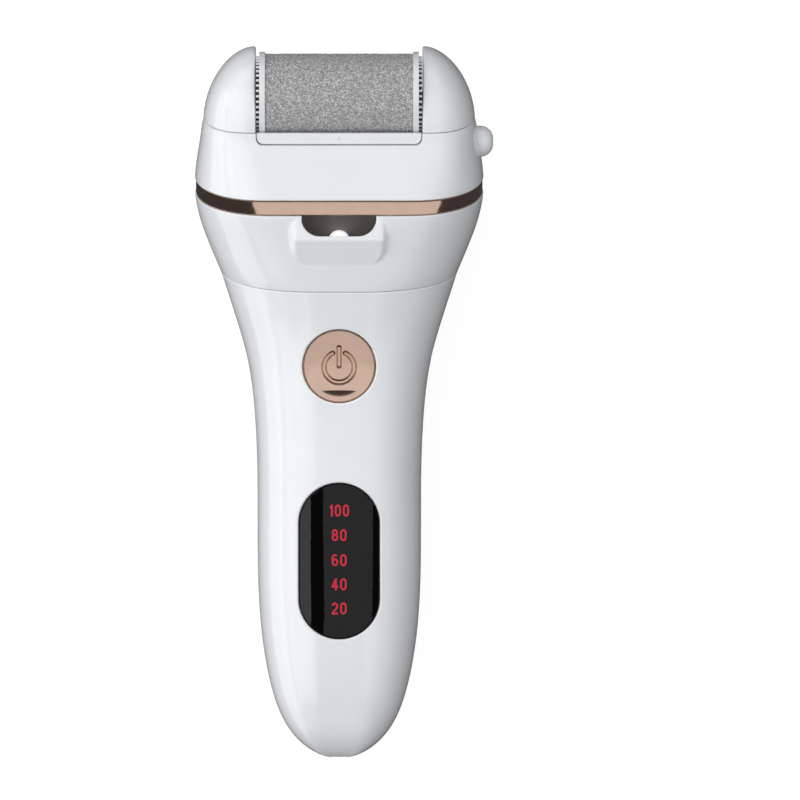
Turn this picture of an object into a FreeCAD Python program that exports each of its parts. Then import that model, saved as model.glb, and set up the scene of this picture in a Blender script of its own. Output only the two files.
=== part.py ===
import FreeCAD, Part
import math
import os

# Electric callus remover: a grit roller in a lift-off cartridge on a handle.
# Handle frame: +Y runs from the tail to the head, +Z out of the front face, +X towards the
# release button. Lengths along Y are measured from the tail tip while the parts are made,
# and every part is moved by ORIGIN_SHIFT when it is saved, so that the origin of the model
# lies in the middle of the flat strip along the back.
# Head frame: the head leans forward, and its parts are made upright in their own frame,
# +Y up the head ("height"), +Z forward ("depth"), zero at the seam under the cartridge.

V = FreeCAD.Vector

# ---- driving dimensions, mm ----
ORIGIN_SHIFT = V(0.0, -60.0, 0.0)

WALL = 2.0
SEAM_GAP = 0.1
FIT = 0.05
SEAM_EDGE = 0.3
MOUTH_EDGE = 0.4
TRIM_EDGE = 0.25
CHEEK_EDGE = 0.5

HEAD_TILT = 15.0
HEAD_SEAM_Y = 148.4
HEAD_SEAM_Z = 30.2
PARTING_HEIGHT = 15.0
PARTING_TILT = 2.9
PARTING_GAP = 0.08
HOLE_FLOOR = 22.0
POST_ROOT = 0.4

QUARTER_STEPS = 7
CORNER_POWER = 2.15

# handle sections: distance from the tail, forward tilt, half width, half depth, centre height
HANDLE_FLAT = 4.0
TAIL_TIP_HEIGHT = 15.0
HANDLE_STATIONS = [
    (1.0, 0.0, 5.3, 4.4, 15.0),
    (4.2, 0.0, 9.7, 8.5, 15.2),
    (8.8, 0.0, 13.0, 11.6, 15.3),
    (15.0, 0.0, 15.4, 13.9, 15.4),
    (23.0, 0.0, 17.2, 15.6, 15.5),
    (34.0, 0.0, 18.5, 16.7, 15.8),
    (48.0, 0.0, 19.0, 17.2, 16.0),
    (66.0, 0.0, 19.05, 17.4, 16.2),
    (80.7, 0.0, 19.7, 17.9, 16.7),
    (92.0, 3.0, 21.2, 18.7, 17.3),
    (103.0, 9.0, 24.2, 20.1, 18.7),
]

# head sections: height on the head axis, half width, half depth, half length of the flat
LOWER_SEAM = -36.2
BAND_LOW = -17.5
BAND_HIGH = -14.0
HEAD_STATIONS = [
    (-42.0, 25.6, 20.4, 4.0),
    (LOWER_SEAM, 27.5, 21.3, 5.0),
    (-29.0, 30.4, 22.4, 9.0),
    (-22.0, 32.7, 23.2, 13.0),
    (-16.0, 33.5, 23.5, 16.0),
    (-9.0, 32.9, 20.9, 18.0),
    (-4.5, 32.2, 18.0, 19.5),
    (0.0, 31.45, 14.9, 21.0),
]

# cartridge
BAY_HALF = 19.3
CHEEK_HEIGHT = 16.7
CHEEK_TOP_POWER = 1.8
BAR_THICKNESS = 2.3
BAR_HALF = 23.7
BAR_DEPTH = 13.2
APRON_HALF = 19.1
APRON_CORNER = 1.6
APRON_INSET = 0.45

# roller and gears
ROLLER_HEIGHT = 6.1
ROLLER_DEPTH = 4.7
GRIT_RADIUS = 10.2
GRIT_HALF = 17.15
RING_RADIUS = 10.55
RING_WIDTH = 1.3
RIM_WIDTH = 0.75
ROLLER_CLEARANCE = 10.95
AXLE_RADIUS = 1.5
AXLE_HALF = 24.0
GEAR_MODULE = 0.4
ROLLER_TEETH = 46
IDLER_TEETH = 28
PINION_TEETH = 14
GEAR_PLAY = 0.08
TOOTH_SHARE = 0.44
GEAR_START = 18.55
GEAR_WIDTH = 1.9
IDLER_PIN_RADIUS = 1.0
IDLER_GAPS_TO_PINION = 16.5
IDLER_HEIGHT = ROLLER_HEIGHT - GEAR_MODULE * (ROLLER_TEETH + IDLER_TEETH) / 2 - GEAR_PLAY
DRIVE_ANGLE = 360.0 / IDLER_TEETH * IDLER_GAPS_TO_PINION
PINION_REACH = GEAR_MODULE * (IDLER_TEETH + PINION_TEETH) / 2 + GEAR_PLAY
MOTOR_HEIGHT = IDLER_HEIGHT + PINION_REACH * math.cos(math.radians(DRIVE_ANGLE))
MOTOR_DEPTH = ROLLER_DEPTH + PINION_REACH * math.sin(math.radians(DRIVE_ANGLE))

# motor
MOTOR_RADIUS = 10.0
MOTOR_HALF_HEIGHT = 7.5
MOTOR_BACK = -9.5
MOTOR_FRONT = 16.9
SHAFT_RADIUS = 1.0
PLATE_START = 17.0
PLATE_THICKNESS = 1.2
MOTOR_SCREW_REACH = 6.0
CRADLE_SCREW_X = (-3.0, 11.0)
CRADLE_SCREW_HEIGHT = -20.5
CRADLE_BACK = -13.2

# screws that hold the shells, and springs
HANDLE_SCREWS = [V(side * 13.5, 99.0, 0) for side in (-1, 1)]
HANDLE_SCREWS += [V(side * 8.5, 20.5, 0) for side in (-1, 1)]
HEAD_SCREWS = [V(x, 0, z) for x in (-24.0, 24.0) for z in (-10.5, 10.5)]
HEAD_BOSS_RADIUS = 2.1
HEAD_BOSS_SPLIT = -19.5
BOARD_SCREWS = [(side * 10.6, y) for side in (-1, 1) for y in (69.0, 79.0)]
COIL_STEPS = 8

# release button and catch
KNOB_HEIGHT = -5.6
KNOB_RADIUS = 3.6
KNOB_DOME = 3.0
KNOB_ROOT = 29.9
KNOB_TOP = 35.7
KNOB_STROKE = 1.4
LEG_X = 15.0
LEG_HALF = 0.8
LEG_DEPTHS = (-12.6, -9.4)
LEG_BOTTOM = -9.7
CATCH_LEVELS = (-8.1, -6.7)

# power button, display, charging socket
BUTTON_Y = 90.8
BUTTON_RADIUS = 8.35
WINDOW_Y = 45.7
WINDOW_HALF_WIDTH = 9.35
WINDOW_HALF_LENGTH = 18.1
WINDOW_EDGE = 0.4
SOCKET_HEIGHT = 15.0
SOCKET_RADIUS = 2.5
BOARD_BOTTOM = 21.6
BOARD_THICKNESS = 1.2
BOARD_TOP = BOARD_BOTTOM + BOARD_THICKNESS
SWITCH_HEIGHT = 3.4
PLUNGER_TOP = BOARD_TOP + SWITCH_HEIGHT + 1.2
FLANGE_LOW = 31.4

# cell, board and wires
CELL_RADIUS = 9.0
CELL_START = 33.0
CELL_LENGTH = 65.0
CELL_HEIGHT = 11.8
BOARD_START = 26.0
BOARD_END = 95.0
WIRE_RADIUS = 0.6

# lamp pocket and its hood, heights and depths in the head frame
LAMP_HALF = 8.65
LAMP_LOW_Y = 120.8
HOOD_HALF = 10.7
HOOD_LOW_Y = 113.6
HOOD_LOW = -30.5
HOOD_BACK = 14.2
LIP_HEIGHT = -22.8
HOOD_EDGE = 1.0
HOOD_BLEND = 1.5
LIP_DEPTH = 25.5
LED_RADIUS = 2.5
LED_HEIGHT = -24.7
LED_DEPTH = 18.2


# ---- helpers ----
def cylinder(radius, length, start, direction):
    return Part.makeCylinder(radius, length, start, direction)


def box(low, high):
    """Box between two opposite corners."""
    size = [high[i] - low[i] for i in range(3)]
    return Part.makeBox(size[0], size[1], size[2], V(*low))


def joined(shapes):
    """One solid from touching solids."""
    result = shapes[0].fuse(shapes[1:]) if len(shapes) > 1 else shapes[0]
    return result.removeSplitter()


def group(shapes):
    return Part.makeCompound(shapes)


def save(name, shape):
    """Write one sub-part; shapes are in the handle frame measured from the tail tip."""
    shape = shape.copy()
    shape.translate(ORIGIN_SHIFT)
    shape.exportStep("parts/" + name + ".step")


def to_head(shape):
    """Move a shape from the head frame to the handle frame."""
    shape = shape.copy()
    shape.rotate(V(0, 0, 0), V(1, 0, 0), HEAD_TILT)
    shape.translate(V(0, HEAD_SEAM_Y, HEAD_SEAM_Z))
    return shape


def from_head(shape):
    """Move a shape from the handle frame to the head frame."""
    shape = shape.copy()
    shape.translate(V(0, -HEAD_SEAM_Y, -HEAD_SEAM_Z))
    shape.rotate(V(0, 0, 0), V(1, 0, 0), -HEAD_TILT)
    return shape


def slab(low, high, reach=90.0):
    """Everything between two heights on the head axis, in the head frame."""
    return box((-reach, low, -reach), (reach, high, reach))


def level_edges(shape, level, shortest=20.0):
    """Long edges of a shape that lie at one height on the head axis."""
    found = []
    for edge in shape.Edges:
        reach = edge.BoundBox
        if abs(reach.YMin - level) < 0.02 and abs(reach.YMax - level) < 0.02 and edge.Length > shortest:
            found.append(edge)
    return found


def edges_on(shape, surface, tolerance=0.005):
    """Edges of a shape whose middle lies on the surface of another solid."""
    found = []
    for edge in shape.Edges:
        middle = edge.valueAt((edge.FirstParameter + edge.LastParameter) / 2)
        if surface.Shells[0].distToShape(Part.Vertex(middle))[0] < tolerance:
            found.append(edge)
    return found


def edges_within(edges, low, high):
    """Those edges that lie wholly between two opposite corners of a box."""
    found = []
    for edge in edges:
        reach = edge.BoundBox
        lows = (reach.XMin, reach.YMin, reach.ZMin)
        highs = (reach.XMax, reach.YMax, reach.ZMax)
        if all(lows[i] > low[i] and highs[i] < high[i] for i in range(3)):
            found.append(edge)
    return found


def quarter_points(half_width, half_depth, flat):
    """Evenly spaced points on a quarter of a flat-sided oval, from its side to its front."""
    fine = []
    for degree in range(91):
        angle = math.radians(degree)
        across = flat + (half_width - flat) * max(math.cos(angle), 0.0) ** (2 / CORNER_POWER)
        fine.append((across, half_depth * math.sin(angle) ** (2 / CORNER_POWER)))
    fine.append((0.0, half_depth))
    travelled = [0.0]
    for before, after in zip(fine, fine[1:]):
        travelled.append(travelled[-1] + math.dist(before, after))
    points = []
    for step in range(QUARTER_STEPS + 1):
        wanted = travelled[-1] * step / QUARTER_STEPS
        i = max(k for k in range(len(fine) - 1) if travelled[k] <= wanted + 1e-9)
        share = (wanted - travelled[i]) / (travelled[i + 1] - travelled[i])
        points.append(tuple(fine[i][k] + share * (fine[i + 1][k] - fine[i][k]) for k in (0, 1)))
    return points


def ring_points(half_width, half_depth, flat):
    """Evenly spaced points round a flat-sided oval with superellipse corners."""
    quarter = quarter_points(half_width, half_depth, flat)
    front = quarter + [(-x, z) for x, z in reversed(quarter[:-1])]
    return front + [(x, -z) for x, z in reversed(front[1:-1])]


def section(ring, centre, tilt):
    """Closed smooth wire of a ring, in a plane tilted forward about X."""
    lean = math.radians(tilt)
    points = []
    for x, deep in ring:
        points.append(V(x, centre[0] - deep * math.sin(lean), centre[1] + deep * math.cos(lean)))
    curve = Part.BSplineCurve()
    parameters = [float(step) for step in range(len(points) + 1)]
    curve.interpolate(Points=points, PeriodicFlag=True, Parameters=parameters)
    return Part.Wire([curve.toShape()])


def handle_body(inset):
    """Handle from the tail tip to above the lower seam, its surface moved in by inset."""
    lean = math.radians(HEAD_TILT)
    stations = [station + (HANDLE_FLAT,) for station in HANDLE_STATIONS]
    for height, half_width, half_depth, flat in HEAD_STATIONS[1:3]:
        along = HEAD_SEAM_Y + height * math.cos(lean)
        up = HEAD_SEAM_Z + height * math.sin(lean)
        stations.append((along, HEAD_TILT, half_width, half_depth, up, flat))
    first = 2 if inset > 0 else 0
    wires = []
    for along, tilt, half_width, half_depth, up, flat in stations[first:]:
        ring = ring_points(half_width - inset, half_depth - inset, flat)
        wires.append(section(ring, (along, up), tilt))
    if inset == 0:
        return Part.makeLoft([Part.Vertex(V(0, 0, TAIL_TIP_HEIGHT))] + wires, True)
    return Part.makeLoft(wires, True)


def head_body(inset):
    """Head from below the lower seam to the cartridge seam, in the head frame."""
    wires = []
    for height, half_width, half_depth, flat in HEAD_STATIONS:
        ring = ring_points(half_width - inset, half_depth - inset, flat)
        wires.append(section(ring, (height, 0.0), 0.0))
    return Part.makeLoft(wires, True)


def stadium(half_width, half_length, centre_y, low, high):
    """Upright prism with round ends, long along Y."""
    straight = half_length - half_width
    middle = box((-half_width, centre_y - straight, low), (half_width, centre_y + straight, high))
    ends = [cylinder(half_width, high - low, V(0, centre_y + side * straight, low), V(0, 0, 1))
            for side in (-1, 1)]
    return joined([middle] + ends)


def gear(teeth, start, width, centre, turn, bore):
    """Spur gear along X with trapezoid teeth, centred on (height, depth)."""
    pitch = GEAR_MODULE * teeth / 2
    levels = ((pitch - 1.2 * GEAR_MODULE, 1.75), (pitch, 1.0), (pitch + 0.8 * GEAR_MODULE, 0.55))
    half_tooth = math.pi / teeth * TOOTH_SHARE
    points = []
    for tooth in range(teeth):
        middle = math.radians(turn) + 2 * math.pi * tooth / teeth
        left = [(radius, middle - half_tooth * share) for radius, share in levels]
        right = [(radius, middle + half_tooth * share) for radius, share in reversed(levels)]
        for radius, angle in left + right:
            points.append(V(start, centre[0] + radius * math.cos(angle),
                            centre[1] + radius * math.sin(angle)))
    outline = Part.makePolygon(points + [points[0]])
    body = Part.Face(outline).extrude(V(width, 0, 0))
    hole = cylinder(bore, width + 2, V(start - 1, centre[0], centre[1]), V(1, 0, 0))
    return body.cut(hole)


def coil(radius, wire, length, turns, start, direction):
    """Open coil spring from start along direction, as a round wire swept along a spline."""
    steps = turns * COIL_STEPS
    points = []
    for step in range(steps + 1):
        angle = 2 * math.pi * step / COIL_STEPS
        rise = wire + (length - 2 * wire) * step / steps
        points.append(V(radius * math.cos(angle), radius * math.sin(angle), rise))
    curve = Part.BSplineCurve()
    curve.interpolate(Points=points)
    tangent = curve.tangent(curve.FirstParameter)[0]
    profile = Part.Wire([Part.makeCircle(wire, points[0], tangent)])
    spring = Part.Wire([curve.toShape()]).makePipeShell([profile], True, True)
    spring.Placement = FreeCAD.Placement(start, FreeCAD.Rotation(V(0, 0, 1), direction))
    return spring


def screw(radius, length, head_radius, head_height, start, direction):
    """Round-head screw: start is under the head, direction points down the thread."""
    direction = V(*direction).normalize()
    shank = cylinder(radius, length, start, direction)
    head = cylinder(head_radius, head_height, start, direction * -1)
    slot_depth = head_height * 0.55
    across = V(1, 0, 0) if abs(direction.x) < 0.5 else V(0, 1, 0)
    other = direction.cross(across)
    top = start - direction * head_height
    cross = []
    for long_way, short_way in ((across, other), (other, across)):
        corner = top - long_way * head_radius * 0.6 - short_way * 0.2
        face = Part.makePolygon([
            corner,
            corner + long_way * head_radius * 1.2,
            corner + long_way * head_radius * 1.2 + short_way * 0.4,
            corner + short_way * 0.4,
            corner,
        ])
        cross.append(Part.Face(face).extrude(direction * slot_depth))
    return joined([shank, head]).cut(group(cross))


def tube_path(points, radius):
    """Wire or cable: straight runs joined by tangent arcs."""
    edges = []
    last = points[0]
    for i in range(1, len(points) - 1):
        before = points[i] - points[i - 1]
        after = points[i + 1] - points[i]
        half_turn = before.getAngle(after) / 2
        shorter = min(before.Length, after.Length)
        back_off = 0.45 * shorter
        into = points[i] - before.normalize() * back_off
        out_of = points[i] + after.normalize() * back_off
        chord_middle = (into + out_of) * 0.5
        towards = (points[i] - chord_middle).normalize()
        bend = back_off / math.tan(half_turn)
        depth = bend * (1 - math.cos(half_turn))
        middle = chord_middle + towards * depth
        edges.append(Part.makeLine(last, into))
        edges.append(Part.Arc(into, middle, out_of).toShape())
        last = out_of
    edges.append(Part.makeLine(last, points[-1]))
    spine = Part.Wire(edges)
    tangent = points[1] - points[0]
    profile = Part.Wire([Part.makeCircle(radius, points[0], tangent)])
    return spine.makePipeShell([profile], True, True)


# ---- shells of the handle ----
def parting_block(front):
    """Space on one side of the slanted plane that parts the handle shells."""
    low, high = (0.0, 120.0) if front else (-120.0, -PARTING_GAP)
    block = box((-120, -60, low), (120, 200, high))
    block.rotate(V(0, 0, 0), V(1, 0, 0), PARTING_TILT)
    block.translate(V(0, 0, PARTING_HEIGHT))
    return block


def handle_bosses(room, low, high, radius):
    """Screw posts inside the handle, rooted in its wall."""
    posts = [cylinder(radius, high - low, V(p.x, p.y, low), V(0, 0, 1)) for p in HANDLE_SCREWS]
    return [post.common(room) for post in posts]


def handle_form(outer):
    """Outer form of the handle below the seam, with its holes and their softened edges."""
    top = LOWER_SEAM - SEAM_GAP
    form = from_head(outer).common(slab(-300.0, top, 120.0))
    form = to_head(form.makeFillet(SEAM_EDGE, level_edges(form, top)))
    button_hole = cylinder(BUTTON_RADIUS + 0.2, 40, V(0, BUTTON_Y, HOLE_FLOOR), V(0, 0, 1))
    window_hole = stadium(WINDOW_HALF_WIDTH + FIT, WINDOW_HALF_LENGTH + FIT, WINDOW_Y, HOLE_FLOOR, 60)
    for hole in (button_hole, window_hole):
        form = form.cut(hole)
        mouth = edges_within(edges_on(form, hole), (-30, 0, 30.0), (30, 120, 60))
        form = form.makeFillet(MOUTH_EDGE, [edge for edge in mouth if edge.Length > 4.0])
    return form


def handle_shells(outer, inner):
    below_seam = to_head(slab(-300.0, LOWER_SEAM - SEAM_GAP, 120.0))
    above_strip = box((-60, -10, 0), (60, 160, 80))
    skin = handle_form(outer).cut(inner)
    floor = box((-30, 8, 0), (30, 116, WALL)).common(outer).common(below_seam)
    screw_split = 15.0

    front = skin.common(parting_block(True))
    room = handle_body(WALL - POST_ROOT).common(below_seam)
    front_posts = handle_bosses(room, screw_split + 5.5, 45.0, 2.6)
    board_posts = [cylinder(1.9, 30, V(x, y, BOARD_BOTTOM + BOARD_THICKNESS), V(0, 0, 1)).common(room)
                   for x, y in BOARD_SCREWS]
    front = joined([front] + front_posts + board_posts)
    drills = [cylinder(0.95, 9, V(p.x, p.y, screw_split + 5), V(0, 0, 1)) for p in HANDLE_SCREWS]
    drills += [cylinder(0.75, 4, V(x, y, BOARD_BOTTOM), V(0, 0, 1)) for x, y in BOARD_SCREWS]
    front = front.cut(group(drills))

    rear = joined([skin.common(parting_block(False)).common(above_strip), floor])
    rear_posts = handle_bosses(room, 0.5, screw_split + 5.4, 2.6)
    rear = joined([rear] + rear_posts)
    holes = []
    for p in HANDLE_SCREWS:
        holes.append(cylinder(1.2, 40, V(p.x, p.y, -10), V(0, 0, 1)))
        holes.append(cylinder(2.2, 18.5, V(p.x, p.y, -10), V(0, 0, 1)))
    rear = rear.cut(group(holes))
    socket_room = cylinder(SOCKET_RADIUS, 14, V(0, -5, SOCKET_HEIGHT), V(0, 1, 0))
    return front.cut(socket_room), rear.cut(socket_room)


def handle_screws():
    return group([screw(0.9, 14.0, 2.0, 1.6, V(p.x, p.y, 8.5), (0, 0, 1)) for p in HANDLE_SCREWS])


# ---- head shells ----
def lamp_opening(half_width, low_y, high_y, corner, start, depth):
    """Prism along Z for the lamp pocket, with round lower corners."""
    straight = box((-half_width, low_y + corner, start), (half_width, high_y, start + depth))
    strip = box((-half_width + corner, low_y, start), (half_width - corner, low_y + corner + 1,
                                                       start + depth))
    rounds = [cylinder(corner, depth, V(side * (half_width - corner), low_y + corner, start),
                       V(0, 0, 1)) for side in (-1, 1)]
    return joined([straight, strip] + rounds)


def wall_boss(inner, place, levels, web_levels):
    """Screw boss in the head, joined to the side wall by a web."""
    post = cylinder(HEAD_BOSS_RADIUS, levels[1] - levels[0], V(place.x, levels[0], place.z), V(0, 1, 0))
    x_low, x_high = sorted((place.x, math.copysign(45.0, place.x)))
    web = box((x_low, web_levels[0], place.z - 1.0), (x_high, web_levels[1], place.z + 1.0))
    return joined([post, web]).common(inner)


def lamp_hood():
    """Wedge that stands out under the lamp pocket, rounded along its outer edges."""
    outline = [(BAND_LOW, HOOD_BACK), (BAND_LOW, HEAD_STATIONS[4][2] - 0.1), (LIP_HEIGHT, LIP_DEPTH),
               (HOOD_LOW, 21.9), (HOOD_LOW, HOOD_BACK), (BAND_LOW, HOOD_BACK)]
    points = [V(-30, height, depth) for height, depth in outline]
    wedge = Part.Face(Part.makePolygon(points)).extrude(V(60, 0, 0))
    front_view = from_head(lamp_opening(HOOD_HALF, HOOD_LOW_Y, 150.0, 5.0, 20, 50))
    return wedge.common(front_view)


def collar_form(head_outer):
    """Outer form of the collar: a stretch of the head with the lamp hood blended into it."""
    form = head_outer.common(slab(LOWER_SEAM, BAND_LOW)).fuse(lamp_hood()).removeSplitter()
    low = (-HOOD_HALF - 0.2, LOWER_SEAM + 0.5, HOOD_BACK)
    high = (HOOD_HALF + 0.2, BAND_LOW - 0.1, 40.0)
    hood_edges = edges_within(form.Edges, low, high)
    on_skin = [edge.hashCode() for edge in edges_on(form, head_outer)]
    form = form.makeFillet(HOOD_EDGE, [edge for edge in hood_edges if edge.hashCode() not in on_skin])
    form = form.makeFillet(HOOD_BLEND, edges_within(edges_on(form, head_outer), low, high))
    rims = level_edges(form, LOWER_SEAM, 100.0) + level_edges(form, BAND_LOW, 100.0)
    form = form.makeFillet(SEAM_EDGE, rims)
    opening = from_head(lamp_opening(LAMP_HALF, LAMP_LOW_Y, 150.0, 4.2, 20, 50))
    pocket = opening.common(box((-40, -60, HOOD_BACK + 1.0), (40, 0, 60)))
    form = form.cut(pocket)
    mouth = edges_within(edges_on(form, pocket), (-12, LIP_HEIGHT, 23.2), (12, BAND_LOW + 0.02, 40))
    return form.makeFillet(MOUTH_EDGE, mouth)


def head_collar(form, head_outer, head_inner, spigot_outer, spigot_inner):
    """Lower head shell: from the lower seam to the band, with a lamp pocket and two spigots."""
    opening = from_head(lamp_opening(LAMP_HALF, LAMP_LOW_Y, 150.0, 4.2, 20, 50))
    pocket = opening.common(box((-40, -60, HOOD_BACK + 1.0), (40, BAND_LOW, 60)))
    spigots = spigot_outer.common(slab(LOWER_SEAM - 4.0, BAND_HIGH + 3.5))
    hollow = head_inner.common(slab(LOWER_SEAM + 3.0, BAND_LOW - 3.0))
    collar = form.fuse(spigots).cut(spigot_inner).cut(hollow)
    roof = box((-HOOD_HALF, BAND_LOW - 0.5, HOOD_BACK), (HOOD_HALF, BAND_LOW + 1.5, 20.0))
    bosses = [wall_boss(head_inner, p, (-27.0, HEAD_BOSS_SPLIT - 0.1), (-27.0, HEAD_BOSS_SPLIT - 1.5))
              for p in HEAD_SCREWS]
    posts = [cylinder(2.3, 10.5, V(x, CRADLE_SCREW_HEIGHT, CRADLE_BACK - 10.5), V(0, 0, 1)).common(
        head_outer) for x in CRADLE_SCREW_X]
    for piece in [lamp_hood().common(head_outer), roof] + bosses + posts:
        collar = collar.fuse(piece)
    cuts = [pocket]
    cuts.append(cylinder(LED_RADIUS + FIT, 12, V(0, LED_HEIGHT - 8, LED_DEPTH), V(0, 1, 0)))
    cuts.append(cylinder(LED_RADIUS + 0.5, 5, V(0, LED_HEIGHT - 8.5, LED_DEPTH), V(0, 1, 0)))
    cuts += [cylinder(1.0, 12, V(p.x, -29, p.z), V(0, 1, 0)) for p in HEAD_SCREWS]
    cuts += [cylinder(0.82, 6, V(x, CRADLE_SCREW_HEIGHT, -18.0), V(0, 0, 1)) for x in CRADLE_SCREW_X]
    for tool in cuts:
        collar = collar.cut(tool)
    return collar


def trim_band(band_outer, band_inner):
    low, high = BAND_LOW + SEAM_GAP, BAND_HIGH - SEAM_GAP
    form = band_outer.common(slab(low, high))
    form = form.makeFillet(TRIM_EDGE, level_edges(form, low) + level_edges(form, high))
    return form.cut(band_inner)


def roller_sweep(radius, half_length):
    return cylinder(radius, 2 * half_length, V(-half_length, ROLLER_HEIGHT, ROLLER_DEPTH), V(1, 0, 0))


def apron_form(half_width, reach):
    """Front strip of the cartridge mouth: a prism along the depth with round lower corners."""
    low = -BAR_THICKNESS - (half_width - APRON_HALF)
    straight = box((-half_width, low + APRON_CORNER, 9.0), (half_width, reach, 40))
    strip = box((-half_width + APRON_CORNER, low, 9.0), (half_width - APRON_CORNER, 0, 40))
    rounds = [cylinder(APRON_CORNER, 31, V(side * (half_width - APRON_CORNER), low + APRON_CORNER, 9.0),
                       V(0, 0, 1)) for side in (-1, 1)]
    return joined([straight, strip] + rounds)


def head_housing(head_outer, head_inner):
    """Upper head shell with the deck and tub that the cartridge sits in."""
    form = head_outer.common(slab(BAND_HIGH, 0))
    form = form.makeFillet(SEAM_EDGE, level_edges(form, BAND_HIGH) + level_edges(form, 0))
    shell = form.cut(head_inner)
    deck = form.common(slab(-BAR_THICKNESS - 1.2, 0))
    tub = box((-25.3, -6.4, -BAR_DEPTH - 1.8), (25.3, -1.0, BAR_DEPTH + 1.8)).common(form)
    bosses = [wall_boss(head_inner, p, (HEAD_BOSS_SPLIT, -5.0), (-9.5, -5.0)) for p in HEAD_SCREWS]
    body = joined([shell, deck, tub] + bosses)
    bay = box((-BAR_HALF - 0.1, -5.2, -BAR_DEPTH - 0.3), (BAR_HALF + 0.1, 1, BAR_DEPTH + 0.3))
    body = body.cut(bay).cut(apron_form(APRON_HALF + 0.15, 1))
    cuts = [roller_sweep(ROLLER_CLEARANCE + 0.2, 19.6)]
    for side in (-1, 1):
        cuts.append(box((side * LEG_X - 2.4, -8, LEG_DEPTHS[0] - 0.4),
                        (side * LEG_X + 1.4, -4, LEG_DEPTHS[1] + 0.4)))
    cuts.append(box((GEAR_START - 0.35, -8, ROLLER_DEPTH - 6.3),
                    (GEAR_START + GEAR_WIDTH + 0.9, -4, ROLLER_DEPTH + 6.3)))
    cuts.append(cylinder(KNOB_RADIUS + 0.15, 12, V(KNOB_ROOT - KNOB_STROKE - 0.2, KNOB_HEIGHT, 0), V(1, 0, 0)))
    cuts.append(box((25.35, -8.5, -4.2), (30.25, -2.2, 4.2)))
    cuts += [cylinder(0.85, 10, V(p.x, HEAD_BOSS_SPLIT - 1, p.z), V(0, 1, 0)) for p in HEAD_SCREWS]
    return body.cut(group(cuts))


def head_screws():
    return group([screw(0.8, 13.0, 1.9, 1.4, V(p.x, -27.0, p.z), (0, 1, 0)) for p in HEAD_SCREWS])


# ---- cartridge ----
def cheek():
    """Domed end of the cartridge on the +X side: lofted up to a point at the inner edge."""
    reach = HEAD_STATIONS[-1][1] - BAY_HALF
    flat = HEAD_STATIONS[-1][3] - BAY_HALF
    wires = []
    for lift in (0, 14, 28, 42, 55, 66, 75, 82):
        share = math.sin(math.radians(lift))
        height = CHEEK_HEIGHT * share
        across = reach * (1 - share ** CHEEK_TOP_POWER) ** (1 / CHEEK_TOP_POWER)
        deep = HEAD_STATIONS[-1][2] * math.cos(math.radians(lift))
        quarter = quarter_points(across, deep, flat * across / reach)
        outline = [(x, -z) for x, z in reversed(quarter)] + quarter[1:]
        points = [V(BAY_HALF + x, height, z) for x, z in outline]
        curve = Part.BSplineCurve()
        curve.interpolate(Points=points, Parameters=[float(step) for step in range(len(points))])
        wires.append(Part.Wire([curve.toShape(), Part.makeLine(points[-1], points[0])]))
    return Part.makeLoft(wires + [Part.Vertex(V(BAY_HALF, CHEEK_HEIGHT, 0))], True)


def soft_cheek(side):
    """Cheek above the seam, softened along the seam and along its arched inner edge."""
    form = cheek().common(slab(SEAM_GAP, 40))
    arch = edges_within(form.Edges, (BAY_HALF - 0.02, -1, -30), (BAY_HALF + 0.02, 30, 30))
    form = form.makeFillet(CHEEK_EDGE, [edge for edge in arch if edge.BoundBox.YLength > 2.0])
    rim = [edge for edge in level_edges(form, SEAM_GAP) if edge.BoundBox.XMax > BAY_HALF + 1.0]
    form = form.makeFillet(SEAM_EDGE, rim)
    return form if side > 0 else form.mirror(V(0, 0, 0), V(1, 0, 0))


def cartridge_frame(head_apron):
    """Two cheeks on a bar, with an apron under the roller and a bore in each cheek."""
    cheeks = [soft_cheek(side) for side in (-1, 1)]
    bar = box((-BAR_HALF, -BAR_THICKNESS, -BAR_DEPTH), (BAR_HALF, SEAM_GAP, BAR_DEPTH))
    apron = apron_form(APRON_HALF, 0).common(head_apron)
    frame = joined(cheeks + [bar, apron])
    frame = frame.cut(roller_sweep(ROLLER_CLEARANCE, BAY_HALF))
    tick = box((-0.25, -1.3, 15.0), (0.25, -0.4, 30))
    bush_room = roller_sweep(AXLE_RADIUS + 1.2, AXLE_HALF + 0.5)
    sockets = [box((side * LEG_X - LEG_HALF - 0.02, -4.0, LEG_DEPTHS[0] - 0.02),
                   (side * LEG_X + LEG_HALF + 0.02, -1.4, LEG_DEPTHS[1] + 0.02)) for side in (-1, 1)]
    frame = frame.cut(group([bush_room] + sockets))
    front = edges_within(frame.Edges, (-APRON_HALF - 0.1, -BAR_THICKNESS - 0.1, 14.0),
                         (APRON_HALF + 0.1, 0.1, 30.0))
    frame = frame.makeFillet(TRIM_EDGE, [edge for edge in front if edge.BoundBox.XLength > 1.0])
    return frame.cut(tick)


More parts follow.
